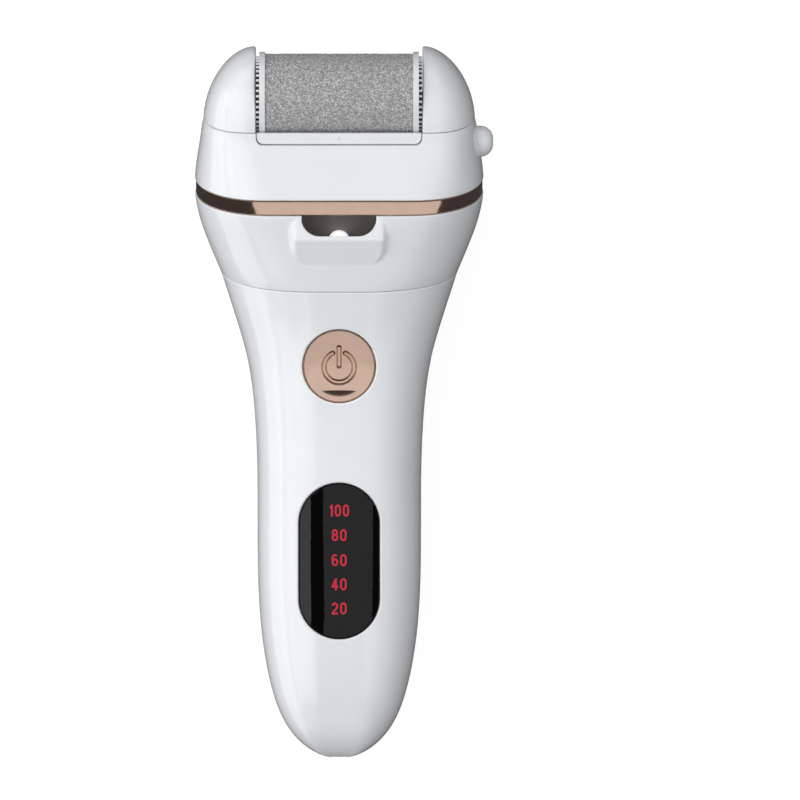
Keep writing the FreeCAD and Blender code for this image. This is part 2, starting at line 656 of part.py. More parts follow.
def cartridge_clip():
    """Two springy legs on a strip under the bar, each with a barb that faces away from the button."""
    strip = box((-LEG_X - 3, -3.5, LEG_DEPTHS[0]), (LEG_X + 3, -BAR_THICKNESS, LEG_DEPTHS[1]))
    pieces = [strip]
    for side in (-1, 1):
        middle = side * LEG_X
        pieces.append(box((middle - LEG_HALF, LEG_BOTTOM, LEG_DEPTHS[0]),
                          (middle + LEG_HALF, -1.45, LEG_DEPTHS[1])))
        barb = Part.makePolygon([
            V(middle - LEG_HALF - 1.0, CATCH_LEVELS[0] - 0.08, LEG_DEPTHS[0]),
            V(middle, CATCH_LEVELS[0] - 0.08, LEG_DEPTHS[0]),
            V(middle, LEG_BOTTOM, LEG_DEPTHS[0]),
            V(middle - LEG_HALF, LEG_BOTTOM, LEG_DEPTHS[0]),
            V(middle - LEG_HALF - 1.0, CATCH_LEVELS[0] - 0.6, LEG_DEPTHS[0]),
            V(middle - LEG_HALF - 1.0, CATCH_LEVELS[0] - 0.08, LEG_DEPTHS[0]),
        ])
        pieces.append(Part.Face(barb).extrude(V(0, 0, LEG_DEPTHS[1] - LEG_DEPTHS[0])))
    return joined(pieces)


def grit_sleeve():
    sleeve = roller_sweep(GRIT_RADIUS, GRIT_HALF)
    return sleeve.cut(roller_sweep(GRIT_RADIUS - 1.4, GRIT_HALF + 1))


def roller_core():
    core = roller_sweep(GRIT_RADIUS - 1.45, GRIT_HALF - 2.0)
    return core.cut(roller_sweep(GRIT_RADIUS - 3.2, GRIT_HALF))


def roller_hub(side):
    """End of the roller: plug, smooth ring and toothed rim in one moulding."""
    plug = cylinder(GRIT_RADIUS - 1.45, 1.98, V(GRIT_HALF - 1.98, ROLLER_HEIGHT, ROLLER_DEPTH), V(1, 0, 0))
    ring = cylinder(RING_RADIUS, RING_WIDTH, V(GRIT_HALF, ROLLER_HEIGHT, ROLLER_DEPTH), V(1, 0, 0))
    rim = gear(ROLLER_TEETH, GRIT_HALF + RING_WIDTH, RIM_WIDTH, (ROLLER_HEIGHT, ROLLER_DEPTH),
               180.0 / ROLLER_TEETH, AXLE_RADIUS)
    hub = joined([plug, ring, rim])
    hub = hub.cut(roller_sweep(AXLE_RADIUS, 40))
    if side < 0:
        hub = hub.mirror(V(0, 0, 0), V(1, 0, 0))
    return hub


def roller_axle():
    return roller_sweep(AXLE_RADIUS, AXLE_HALF)


def axle_bush(side):
    """Plain bearing of the roller axle in one cheek."""
    start = BAY_HALF + 0.05
    bush = cylinder(AXLE_RADIUS + 1.2, AXLE_HALF + 0.4 - start, V(start, ROLLER_HEIGHT, ROLLER_DEPTH),
                    V(1, 0, 0))
    bush = bush.cut(roller_sweep(AXLE_RADIUS + 0.04, 40))
    if side < 0:
        bush = bush.mirror(V(0, 0, 0), V(1, 0, 0))
    return bush


# ---- drive ----
def idler_gear():
    return gear(IDLER_TEETH, GEAR_START, GEAR_WIDTH, (IDLER_HEIGHT, ROLLER_DEPTH), 0.0,
                IDLER_PIN_RADIUS + 0.04)


def idler_pin():
    """Shouldered pin that the idler turns on, pressed into the gear plate."""
    place = V(PLATE_START, IDLER_HEIGHT, ROLLER_DEPTH)
    pin = cylinder(IDLER_PIN_RADIUS, GEAR_START + GEAR_WIDTH + 0.6 - PLATE_START, place, V(1, 0, 0))
    head_start = GEAR_START + GEAR_WIDTH + 0.1
    head = cylinder(IDLER_PIN_RADIUS + 0.8, 0.5, V(head_start, IDLER_HEIGHT, ROLLER_DEPTH), V(1, 0, 0))
    return joined([pin, head])


def motor_pinion():
    return gear(PINION_TEETH, GEAR_START, GEAR_WIDTH, (MOTOR_HEIGHT, MOTOR_DEPTH),
                DRIVE_ANGLE - 180.0, SHAFT_RADIUS)


def motor_form(radius, half_height, start, length):
    """Round body with two flats, along X on the motor axis."""
    round_body = cylinder(radius, length, V(start, MOTOR_HEIGHT, MOTOR_DEPTH), V(1, 0, 0))
    flats = box((start, MOTOR_HEIGHT - half_height, MOTOR_DEPTH - radius),
                (start + length, MOTOR_HEIGHT + half_height, MOTOR_DEPTH + radius))
    return round_body.common(flats)


def motor_can():
    can = motor_form(MOTOR_RADIUS, MOTOR_HALF_HEIGHT, MOTOR_BACK + 2.5, MOTOR_FRONT - MOTOR_BACK - 2.5)
    room = motor_form(MOTOR_RADIUS - 0.8, MOTOR_HALF_HEIGHT - 0.8, MOTOR_BACK + 2.0,
                      MOTOR_FRONT - MOTOR_BACK - 2.8)
    boss = cylinder(3.0, PLATE_THICKNESS, V(MOTOR_FRONT, MOTOR_HEIGHT, MOTOR_DEPTH), V(1, 0, 0))
    can = joined([can.cut(room), boss])
    bore = cylinder(SHAFT_RADIUS + 0.04, 60, V(-30, MOTOR_HEIGHT, MOTOR_DEPTH), V(1, 0, 0))
    screw_holes = []
    for side in (-1, 1):
        place = V(MOTOR_FRONT - 1.5, MOTOR_HEIGHT, MOTOR_DEPTH + side * MOTOR_SCREW_REACH)
        screw_holes.append(cylinder(0.8, 3, place, V(1, 0, 0)))
    return can.cut(group([bore] + screw_holes))


def motor_end_cap():
    cap = motor_form(MOTOR_RADIUS, MOTOR_HALF_HEIGHT, MOTOR_BACK, 2.45)
    boss = cylinder(2.6, 1.2, V(MOTOR_BACK - 1.2, MOTOR_HEIGHT, MOTOR_DEPTH), V(1, 0, 0))
    cap = joined([cap, boss])
    bore = cylinder(SHAFT_RADIUS + 0.04, 60, V(-30, MOTOR_HEIGHT, MOTOR_DEPTH), V(1, 0, 0))
    return cap.cut(bore)


def motor_terminals():
    """Two solder tags on the motor's end cap."""
    tags = []
    for side in (-1, 1):
        depth = MOTOR_DEPTH + side * 6.5
        tags.append(box((MOTOR_BACK - 3.5, MOTOR_HEIGHT - 1.0, depth - 0.2),
                        (MOTOR_BACK, MOTOR_HEIGHT + 1.0, depth + 0.2)))
    return group(tags)


def motor_rotor():
    rotor = cylinder(6.0, 15.0, V(-2.0, MOTOR_HEIGHT, MOTOR_DEPTH), V(1, 0, 0))
    commutator = cylinder(2.4, 3.5, V(-5.5, MOTOR_HEIGHT, MOTOR_DEPTH), V(1, 0, 0))
    rotor = joined([rotor, commutator])
    slots = []
    for turn in (0, 120, 240):
        slot = box((-3, 3.4, -0.7), (14, 7, 0.7))
        slot.rotate(V(0, 0, 0), V(1, 0, 0), turn)
        slot.translate(V(0, MOTOR_HEIGHT, MOTOR_DEPTH))
        slots.append(slot)
    bore = cylinder(SHAFT_RADIUS, 60, V(-30, MOTOR_HEIGHT, MOTOR_DEPTH), V(1, 0, 0))
    return rotor.cut(group(slots)).cut(bore)


def motor_magnets():
    """Two curved magnets glued in the motor can."""
    ring = cylinder(MOTOR_RADIUS - 0.85, 14.0, V(-1.5, MOTOR_HEIGHT, MOTOR_DEPTH), V(1, 0, 0))
    ring = ring.cut(cylinder(6.6, 40, V(-10, MOTOR_HEIGHT, MOTOR_DEPTH), V(1, 0, 0)))
    sides = box((-3, MOTOR_HEIGHT - 4.6, MOTOR_DEPTH - 12), (14, MOTOR_HEIGHT + 4.6, MOTOR_DEPTH + 12))
    return ring.common(sides)


def motor_shaft():
    length = GEAR_START + GEAR_WIDTH + 0.5 - (MOTOR_BACK - 0.8)
    return cylinder(SHAFT_RADIUS, length, V(MOTOR_BACK - 0.8, MOTOR_HEIGHT, MOTOR_DEPTH), V(1, 0, 0))


def gear_plate():
    """Metal plate on the motor's front that carries the idler pin."""
    plate = box((PLATE_START, MOTOR_HEIGHT - 6.5, MOTOR_DEPTH - 7.8),
                (PLATE_START + PLATE_THICKNESS, IDLER_HEIGHT + 1.9, MOTOR_DEPTH + 7.8))
    upright = [e for e in plate.Edges if abs(e.Length - PLATE_THICKNESS) < 1e-6]
    plate = plate.makeFillet(2.0, upright)
    cuts = [cylinder(3.02, 5, V(PLATE_START - 1, MOTOR_HEIGHT, MOTOR_DEPTH), V(1, 0, 0)),
            cylinder(IDLER_PIN_RADIUS, 5, V(PLATE_START - 1, IDLER_HEIGHT, ROLLER_DEPTH), V(1, 0, 0))]
    for side in (-1, 1):
        cuts.append(cylinder(0.9, 5, V(PLATE_START - 1, MOTOR_HEIGHT, MOTOR_DEPTH + side * MOTOR_SCREW_REACH),
                             V(1, 0, 0)))
    return plate.cut(group(cuts))


def motor_screws():
    face = PLATE_START + PLATE_THICKNESS
    return group([screw(0.8, 2.4, 1.25, 0.9, V(face, MOTOR_HEIGHT, MOTOR_DEPTH + side * MOTOR_SCREW_REACH),
                        (-1, 0, 0)) for side in (-1, 1)])


def motor_cradle():
    """Saddle under the motor, screwed to two posts on the back of the head."""
    low = MOTOR_HEIGHT - MOTOR_HALF_HEIGHT - 1.5
    block = box((-6.0, low, CRADLE_BACK), (15.5, MOTOR_HEIGHT + 3.0, MOTOR_DEPTH + MOTOR_RADIUS + 1.6))
    block = block.cut(motor_form(MOTOR_RADIUS + FIT, MOTOR_HALF_HEIGHT + FIT, -20, 60))
    drills = []
    for x in CRADLE_SCREW_X:
        drills.append(cylinder(1.0, 5, V(x, CRADLE_SCREW_HEIGHT, CRADLE_BACK - 1), V(0, 0, 1)))
        drills.append(cylinder(2.0, 6, V(x, CRADLE_SCREW_HEIGHT, CRADLE_BACK + 1.7), V(0, 0, 1)))
    return block.cut(group(drills))


def cradle_screws():
    return group([screw(0.78, 5.0, 1.6, 1.2, V(x, CRADLE_SCREW_HEIGHT, CRADLE_BACK + 1.7), (0, 0, -1))
                  for x in CRADLE_SCREW_X])


# ---- release button ----
def release_button():
    """Domed knob that slides in a hole of the housing wall, on a stem in the latch slider."""
    knob = cylinder(KNOB_RADIUS, KNOB_TOP - KNOB_ROOT, V(KNOB_ROOT, KNOB_HEIGHT, 0), V(1, 0, 0))
    knob = knob.makeFillet(KNOB_DOME, [e for e in knob.Edges if e.BoundBox.XMin > KNOB_TOP - 0.01])
    stem = cylinder(1.2, 2.0, V(28.3, KNOB_HEIGHT, 0), V(1, 0, 0))
    return joined([knob, stem])


def latch_slider():
    """Catch plate under the tub: windows for the barbs, and a tab that the knob pushes."""
    low, high = CATCH_LEVELS
    bar = box((-18.5, low, LEG_DEPTHS[0] - 1.0), (21.7, high, LEG_DEPTHS[1] + 1.0))
    arm = box((20.0, low, LEG_DEPTHS[0] - 1.0), (21.7, high, -3.4))
    foot = box((20.0, low, -7.6), (27.0, high, -3.4))
    step = box((22.6, low, -3.8), (29.7, high, 2.6))
    tab = box((28.3, low, -3.4), (29.7, -2.9, 3.4))
    plate = joined([bar, arm, foot, step, tab])
    windows = []
    for side in (-1, 1):
        middle = side * LEG_X
        windows.append(box((middle - LEG_HALF - 0.1, low - 1, LEG_DEPTHS[0] - 0.4),
                           (middle + LEG_HALF + KNOB_STROKE + 0.3, high + 1, LEG_DEPTHS[1] + 0.4)))
    windows.append(cylinder(1.2, 5, V(27, KNOB_HEIGHT, 0), V(1, 0, 0)))
    return plate.cut(group(windows))


def release_spring():
    return coil(1.3, 0.18, 2.9, 4, V(25.35, KNOB_HEIGHT + 0.8, 0), V(1, 0, 0))


# ---- lamp ----
def lamp_led():
    """Round lamp that stands in the pocket's floor and points at the roller."""
    body = cylinder(LED_RADIUS, 3.6, V(0, LED_HEIGHT - 3.6, LED_DEPTH), V(0, 1, 0))
    rim = cylinder(LED_RADIUS + 0.4, 0.9, V(0, LED_HEIGHT - 4.5, LED_DEPTH), V(0, 1, 0))
    dome = Part.makeSphere(LED_RADIUS, V(0, LED_HEIGHT, LED_DEPTH))
    leads = [cylinder(0.25, 1.6, V(x, LED_HEIGHT - 6.1, LED_DEPTH), V(0, 1, 0)) for x in (-1.27, 1.27)]
    return joined([body, rim, dome] + leads)


def lamp_board():
    """Small board behind the pocket that feeds the lamp."""
    return box((-7, -31.0, HOOD_BACK - 1.2), (7, -23.0, HOOD_BACK - 0.05))


# ---- inside the handle ----
def battery_cell():
    cell = cylinder(CELL_RADIUS, CELL_LENGTH, V(0, CELL_START, CELL_HEIGHT), V(0, 1, 0))
    cap = cylinder(2.8, 0.8, V(0, CELL_START + CELL_LENGTH, CELL_HEIGHT), V(0, 1, 0))
    return joined([cell, cap])


def cell_tabs():
    """Nickel strips from the two ends of the cell to the underside of the board."""
    tail = box((-2.0, CELL_START - 0.2, CELL_HEIGHT - 2), (2.0, CELL_START, BOARD_BOTTOM))
    end = CELL_START + CELL_LENGTH + 0.8
    head = box((-2.0, end, CELL_HEIGHT - 2), (2.0, end + 0.2, BOARD_BOTTOM))
    fold = box((-2.0, BOARD_END - 3.0, BOARD_BOTTOM - 0.2), (2.0, end + 0.2, BOARD_BOTTOM))
    return group([tail, joined([head, fold])])


def cell_saddles(room):
    """Two plastic saddles that hold the cell, standing in the rear shell's hollow."""
    saddles = []
    for y in (41.0, 84.0):
        block = box((-12.5, y, WALL), (12.5, y + 6.0, CELL_HEIGHT - 1.0)).common(room)
        saddles.append(block.cut(cylinder(CELL_RADIUS + FIT, 20, V(0, y - 5, CELL_HEIGHT), V(0, 1, 0))))
    return group(saddles)


def main_board():
    board = box((-12.5, BOARD_START, BOARD_BOTTOM), (12.5, BOARD_END, BOARD_TOP))
    upright = [e for e in board.Edges if abs(e.Length - BOARD_THICKNESS) < 1e-6]
    board = board.makeFillet(1.5, upright)
    holes = [cylinder(0.9, 5, V(x, y, BOARD_BOTTOM - 1), V(0, 0, 1)) for x, y in BOARD_SCREWS]
    return board.cut(group(holes))


def board_screws():
    return group([screw(0.7, 4.0, 1.4, 0.8, V(x, y, BOARD_BOTTOM), (0, 0, 1)) for x, y in BOARD_SCREWS])


def display_block():
    """Numeral display behind the window."""
    return box((-7.2, WINDOW_Y - 15.5, BOARD_TOP), (7.2, WINDOW_Y + 15.5, BOARD_TOP + 5.6))


def tact_switch():
    base = box((-3, BUTTON_Y - 3, BOARD_TOP), (3, BUTTON_Y + 3, BOARD_TOP + SWITCH_HEIGHT))
    return base.cut(cylinder(1.75, 3, V(0, BUTTON_Y, BOARD_TOP + SWITCH_HEIGHT - 1.2), V(0, 0, 1)))


def switch_plunger():
    """Plunger of the switch, which moves with the power button."""
    start = BOARD_TOP + SWITCH_HEIGHT - 0.5
    return cylinder(1.7, PLUNGER_TOP - start, V(0, BUTTON_Y, start), V(0, 0, 1))


def control_chips():
    """Motor and charging controllers with the charging coil on the board."""
    return group([box((-8.0, 65.5, BOARD_TOP), (-3.0, 70.5, BOARD_TOP + 1.4)),
                  box((2.0, 66.0, BOARD_TOP), (7.0, 70.0, BOARD_TOP + 1.4)),
                  box((-3.0, 72.0, BOARD_TOP), (3.0, 78.0, BOARD_TOP + 2.8))])


def charging_socket():
    """Round charging jack at the tail, with its centre pin."""
    start = 0.12
    nose = cylinder(SOCKET_RADIUS - FIT, 9.0, V(0, start, SOCKET_HEIGHT), V(0, 1, 0))
    housing = box((-4.4, 9.0, SOCKET_HEIGHT - 4.0), (4.4, 16.0, SOCKET_HEIGHT + 4.0))
    jack = joined([nose, housing])
    jack = jack.cut(cylinder(1.8, 11, V(0, start - 1, SOCKET_HEIGHT), V(0, 1, 0)))
    pin = cylinder(0.65, 9, V(0, 1.8, SOCKET_HEIGHT), V(0, 1, 0))
    return joined([jack, pin])


# ---- power button ----
def power_button(button_outer):
    """Round cap whose face follows the handle, with a flange behind the shell and a stem."""
    column = cylinder(BUTTON_RADIUS, 30, V(0, BUTTON_Y, FLANGE_LOW), V(0, 0, 1))
    face = column.common(button_outer)
    rim = [edge for edge in edges_on(face, button_outer) if edge.Length > 4 * BUTTON_RADIUS]
    face = face.makeFillet(TRIM_EDGE, rim)
    stem = cylinder(2.6, FLANGE_LOW - PLUNGER_TOP, V(0, BUTTON_Y, PLUNGER_TOP), V(0, 0, 1))
    flange = cylinder(BUTTON_RADIUS + 0.85, 0.8, V(0, BUTTON_Y, FLANGE_LOW), V(0, 0, 1))
    return joined([face, flange, stem])


def button_spring():
    """Return spring between the board and the button's flange."""
    return coil(4.7, 0.25, FLANGE_LOW - BOARD_TOP - 0.1, 4, V(0, BUTTON_Y, BOARD_TOP + 0.05), V(0, 0, 1))


def display_window(surface_inset, outer_inset_2, outer_inset_3):
    """Black window: a plug flush with the handle, and a wider flange behind the shell."""
    plug = stadium(WINDOW_HALF_WIDTH, WINDOW_HALF_LENGTH, WINDOW_Y, 22, 40)
    flange = stadium(WINDOW_HALF_WIDTH + 1.4, WINDOW_HALF_LENGTH + 1.4, WINDOW_Y, 22, 40)
    front_plug = plug.common(surface_inset.cut(outer_inset_3))
    rim = [edge for edge in edges_on(front_plug, surface_inset) if edge.Length > 4.0]
    front_plug = front_plug.makeFillet(WINDOW_EDGE, rim)
    back_flange = flange.common(outer_inset_2.cut(outer_inset_3))
    return joined([front_plug, back_flange])


# ---- wiring ----
def motor_wires():
    """Two leads from the motor's tags down to the board, in the head frame."""
    wires = []
    for side in (-1, 1):
        start = V(MOTOR_BACK - 2.8, MOTOR_HEIGHT - 1.0, MOTOR_DEPTH + side * 6.5)
        low = V(start.x, -30.0, start.z)
        turn = V(-8.0 + side, -46.0, 8.2)
        wires.append(tube_path([start, low, turn, V(turn.x, -54.0, 8.2)], WIRE_RADIUS))
    return group(wires)


def lamp_wires():
    """Two leads from the lamp's board to the main board, in the head frame."""
    wires = []
    for x in (4.0, 6.0):
        depth = HOOD_BACK - 0.65
        wires.append(tube_path([V(x, -31.0, depth), V(x, -38.0, depth), V(x, -46.0, 8.2),
                                V(x, -54.0, 8.2)], WIRE_RADIUS))
    return group(wires)


def socket_wires():
    """Two leads from the charging socket to the tail end of the board."""
    wires = []
    middle = BOARD_BOTTOM + BOARD_THICKNESS / 2
    for x in (-2.4, 2.4):
        wires.append(tube_path([V(x, 16.0, SOCKET_HEIGHT + 1), V(x, 19.5, SOCKET_HEIGHT + 1),
                                V(x, 22.5, middle), V(x, BOARD_START, middle)], 0.55))
    return group(wires)


def main():
    os.makedirs("parts", exist_ok=True)
    outer = handle_body(0)
    inner = handle_body(WALL)
    head_outer = head_body(0)
    head_inner = head_body(WALL)

    front, rear = handle_shells(outer, inner)
    save("front_shell", front)
    save("rear_shell", rear)
    save("handle_screws", handle_screws())
    save("display_window", display_window(handle_body(0.1), handle_body(WALL + 0.05),
                                          handle_body(WALL + 1.0)))

    collar = head_collar(collar_form(head_outer), head_outer, head_inner,
                         head_body(WALL + 0.1), head_body(WALL + 1.5))
    save("head_collar", to_head(collar))
    save("trim_band", to_head(trim_band(head_body(0.25), head_body(WALL - 0.1))))
    save("head_housing", to_head(head_housing(head_outer, head_inner)))
    save("head_screws", to_head(head_screws()))

    save("cartridge_frame", to_head(cartridge_frame(head_body(APRON_INSET))))
    save("cartridge_clip", to_head(cartridge_clip()))
    save("grit_sleeve", to_head(grit_sleeve()))
    save("roller_core", to_head(roller_core()))
    save("roller_axle", to_head(roller_axle()))
    for name, side in (("left", -1), ("right", 1)):
        save("roller_hub_" + name, to_head(roller_hub(side)))
        save("axle_bush_" + name, to_head(axle_bush(side)))

    for name, shape in (
        ("idler_gear", idler_gear()),
        ("idler_pin", idler_pin()),
        ("motor_pinion", motor_pinion()),
        ("motor_can", motor_can()),
        ("motor_end_cap", motor_end_cap()),
        ("motor_terminals", motor_terminals()),
        ("motor_rotor", motor_rotor()),
        ("motor_magnets", motor_magnets()),
        ("motor_shaft", motor_shaft()),
        ("gear_plate", gear_plate()),
        ("motor_screws", motor_screws()),
        ("motor_cradle", motor_cradle()),
        ("cradle_screws", cradle_screws()),
        ("release_button", release_button()),
        ("latch_slider", latch_slider()),
        ("release_spring", release_spring()),
        ("lamp_led", lamp_led()),
        ("lamp_board", lamp_board()),
        ("motor_wires", motor_wires()),
        ("lamp_wires", lamp_wires()),
    ):
        save(name, to_head(shape))

    for name, shape in (
        ("battery_cell", battery_cell()),
        ("cell_tabs", cell_tabs()),
        ("cell_saddles", cell_saddles(inner)),
        ("main_board", main_board()),
        ("board_screws", board_screws()),
        ("display_block", display_block()),
        ("tact_switch", tact_switch()),
        ("switch_plunger", switch_plunger()),
        ("control_chips", control_chips()),
        ("charging_socket", charging_socket()),
        ("socket_wires", socket_wires()),
        ("power_button", power_button(handle_body(-0.15))),
        ("button_spring", button_spring()),
    ):
        save(name, shape)


main()
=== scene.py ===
import math

import bpy
import numpy as np
from mathutils import Matrix, Vector, noise


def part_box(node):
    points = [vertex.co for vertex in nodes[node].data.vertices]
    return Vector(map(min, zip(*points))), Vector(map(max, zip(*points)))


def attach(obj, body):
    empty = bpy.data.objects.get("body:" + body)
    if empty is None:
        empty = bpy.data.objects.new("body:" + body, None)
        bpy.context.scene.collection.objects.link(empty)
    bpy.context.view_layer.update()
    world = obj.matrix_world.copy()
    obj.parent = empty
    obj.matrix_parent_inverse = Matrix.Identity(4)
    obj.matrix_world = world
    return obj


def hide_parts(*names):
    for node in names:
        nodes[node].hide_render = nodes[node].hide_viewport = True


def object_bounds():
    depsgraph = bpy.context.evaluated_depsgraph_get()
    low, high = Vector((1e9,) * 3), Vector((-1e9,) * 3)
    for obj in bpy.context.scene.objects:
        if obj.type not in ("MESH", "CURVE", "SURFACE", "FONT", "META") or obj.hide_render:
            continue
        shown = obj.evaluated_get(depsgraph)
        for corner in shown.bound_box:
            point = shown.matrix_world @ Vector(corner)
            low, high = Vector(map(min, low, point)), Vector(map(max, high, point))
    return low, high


# Electric callus remover lying on its back: looks, floor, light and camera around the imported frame.
# Row frame in metres: +Y towards the head, +Z out of the front face, +X towards the release button.

MM = 0.001

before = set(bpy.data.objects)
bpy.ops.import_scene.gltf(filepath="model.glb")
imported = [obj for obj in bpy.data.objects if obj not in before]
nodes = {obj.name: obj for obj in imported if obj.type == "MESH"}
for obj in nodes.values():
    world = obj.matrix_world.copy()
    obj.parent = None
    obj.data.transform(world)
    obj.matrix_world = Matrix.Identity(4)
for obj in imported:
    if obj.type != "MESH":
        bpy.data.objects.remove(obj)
cad_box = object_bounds()

# ---- places and sizes that the script adds to the frame ----
CAMERA_X = 14.1 * MM
CAMERA_Y = 23.0 * MM
VIEW_WIDTH = 185.5 * MM
VIEW_PLANE = 28.0 * MM
LENS = 1000.0
SENSOR = 36.0

HEAD_TILT = math.radians(15.0)
HEAD_ORIGIN = Vector((0.0, 88.4 * MM, 30.2 * MM))
POCKET_HALF = 8.75 * MM
POCKET_BOTTOM = -30.0 * MM
POCKET_TOP = -16.5 * MM
POCKET_BACK = 15.0 * MM
POCKET_LIP = 22.2 * MM
TOOTHED_FROM = 18.45 * MM
MOUTH_REACH = 0.8 * MM
MOUTH_LEVEL = 3.5 * MM
MOUTH_NORMAL = 0.1
MOUTH_LEAN = -0.15
TOOTH_TIP = 0.3 * MM

GRAIN = 0.42 * MM
GRAIN_HEIGHT = 0.2 * MM
GRIT_STEP = 0.15 * MM
SLEEVE_WALL = 1.4 * MM

BUTTON_RADIUS = 8.35 * MM
BUTTON_EDGE = 0.3 * MM
BUTTON_SPOKES = 256
FACE_RINGS = 76
EDGE_RINGS = 5
BUTTON_FIT_RADIUS = 7.9 * MM
FLANGE_TOP = 32.2 * MM
FLANGE_BOTTOM = 31.4 * MM
STEM_RADIUS = 2.6 * MM
GROOVE_DEPTH = 0.42 * MM
GROOVE_HALF = 0.64 * MM
GROOVE_FLOOR = 0.2 * MM
SYMBOL_RADIUS = 3.5 * MM
SYMBOL_LIFT = -0.19 * MM
SYMBOL_GAP = math.radians(24.0)
BAR_HALF = 2.1 * MM
BAR_LIFT = 2.19 * MM
DISH_SLOPE = 0.16
DISH_LOW = -5.6 * MM
DISH_RADIUS = 7.5 * MM

# the text, the height of its middle along Y and its width, in mm
NUMERALS = [("100", -2.6, 4.6), ("80", -8.3, 3.5), ("60", -14.1, 3.5), ("40", -19.7, 3.5),
            ("20", -25.3, 3.5)]
NUMERAL_HEIGHT = 2.8 * MM
NUMERAL_LIFT = 0.03 * MM
NUMERAL_STROKE = 0.45 * MM
NUMERAL_SPACE = 0.42 * MM
NARROW_DIGIT = 0.85 * MM
ARC_STEPS = 18

FLOOR_HALF = 6.0
CEILING = 1.5
DIM_ROOM = 0.05
PALE_BACKDROP = 0.95
# name, place, size and radiance of each panel beside the object
SIDE_PANELS = [
    ("left_floor", (-1.4, -0.3, -0.15), (2.6, 1.0), 0.9),
    ("left_low", (-1.5, 0.0, 0.35), (2.4, 0.7), 0.4),
    ("left_high", (-1.3, 0.0, 1.0), (2.4, 0.8), 1.0),
    ("left_head", (-1.1, 1.1, 0.5), (1.6, 1.0), 0.5),
    ("right_high", (1.3, 0.0, 1.0), (2.4, 0.8), 0.6),
    ("right_low", (1.5, 0.0, 0.35), (2.4, 0.7), 0.3),
    ("head_end", (0.0, 1.5, 0.7), (2.4, 1.0), 0.7),
    ("tail_end", (0.0, -1.5, 0.7), (2.4, 1.0), 0.4),
]
# name, angles across, angles along and radiance of each panel overhead
CEILING_PANELS = [
    ("ceiling_left", (-40, -12), (-40, 40), 1.25),
    ("ceiling_middle", (-12, 12), (-12, 40), 0.6),
    ("ceiling_right", (12, 40), (-40, 40), 0.78),
]


# ---- material helpers ----
def coordinates(tree, stretch=(1.0, 1.0, 1.0)):
    place = tree.nodes.new("ShaderNodeTexCoord")
    mapping = tree.nodes.new("ShaderNodeMapping")
    mapping.inputs["Scale"].default_value = stretch
    tree.links.new(place.outputs["Object"], mapping.inputs["Vector"])
    return mapping.outputs["Vector"]


def noise_field(tree, size, detail=2.0, stretch=(1.0, 1.0, 1.0)):
    """Noise in the object's own space, with features about size metres across."""
    texture = tree.nodes.new("ShaderNodeTexNoise")
    texture.inputs["Scale"].default_value = 1.0 / size
    texture.inputs["Detail"].default_value = detail
    tree.links.new(coordinates(tree, stretch), texture.inputs["Vector"])
    return texture.outputs["Fac"]


def cell_field(tree, size, stretch=(1.0, 1.0, 1.0)):
    """A random value for each grain of about size metres."""
    texture = tree.nodes.new("ShaderNodeTexVoronoi")
    texture.inputs["Scale"].default_value = 1.0 / size
    tree.links.new(coordinates(tree, stretch), texture.inputs["Vector"])
    split = tree.nodes.new("ShaderNodeSeparateColor")
    tree.links.new(texture.outputs["Color"], split.inputs["Color"])
    return split.outputs["Red"]


def colour_between(tree, shader, field, stops):
    ramp = tree.nodes.new("ShaderNodeValToRGB")
    elements = ramp.color_ramp.elements
    while len(elements) < len(stops):
        elements.new(0.5)
    for element, (position, colour) in zip(elements, stops):
        element.position = position
        element.color = (*colour, 1.0)
    tree.links.new(field, ramp.inputs["Fac"])
    tree.links.new(ramp.outputs["Color"], shader.inputs["Base Color"])


def roughness_between(tree, shader, field, low, high):
    spread = tree.nodes.new("ShaderNodeMapRange")
    spread.inputs["To Min"].default_value = low
    spread.inputs["To Max"].default_value = high
    tree.links.new(field, spread.inputs["Value"])
    tree.links.new(spread.outputs["Result"], shader.inputs["Roughness"])


def bump(tree, shader, field, height, strength=1.0):
    relief = tree.nodes.new("ShaderNodeBump")
    relief.inputs["Strength"].default_value = strength
    relief.inputs["Distance"].default_value = height
    tree.links.new(field, relief.inputs["Height"])
    tree.links.new(relief.outputs["Normal"], shader.inputs["Normal"])


def new_material(name, **sockets):
    """A material with a principled shader; sockets are constants on the shader itself."""
    made = bpy.data.materials.new(name)
    made.use_nodes = True
    shader = made.node_tree.nodes["Principled BSDF"]
    for socket, value in sockets.items():
        shader.inputs[socket.replace("_", " ")].default_value = value
    return made, made.node_tree, shader


def scaled(colour, factor):
    return tuple(min(1.0, channel * factor) for channel in colour)


def moulded(name, colour, gloss, mottle=0.03, relief=0.0025, **sockets):
    """Moulded plastic: faint mottling, uneven gloss and a fine orange peel."""
    made, tree, shader = new_material(name, **sockets)
    colour_between(tree, shader, noise_field(tree, 9 * MM, 3.0),
                   [(0.3, scaled(colour, 1 - mottle)), (0.7, colour)])
    roughness_between(tree, shader, noise_field(tree, 2.5 * MM, 3.0), gloss * 0.85, gloss * 1.2)
    bump(tree, shader, noise_field(tree, 0.9 * MM, 1.0), relief * MM)
    return made


def brushed(name, colour, gloss, stretch, mottle=0.12, **sockets):
    """Metal with fine drawn lines across the direction that stretch squeezes."""
    made, tree, shader = new_material(name, Metallic=1.0, **sockets)
    lines = noise_field(tree, 0.35 * MM, 4.0, stretch)
    colour_between(tree, shader, lines, [(0.3, scaled(colour, 1 - mottle)), (0.7, colour)])
    roughness_between(tree, shader, lines, gloss * 0.8, gloss * 1.3)
    bump(tree, shader, lines, 0.004 * MM)
    return made


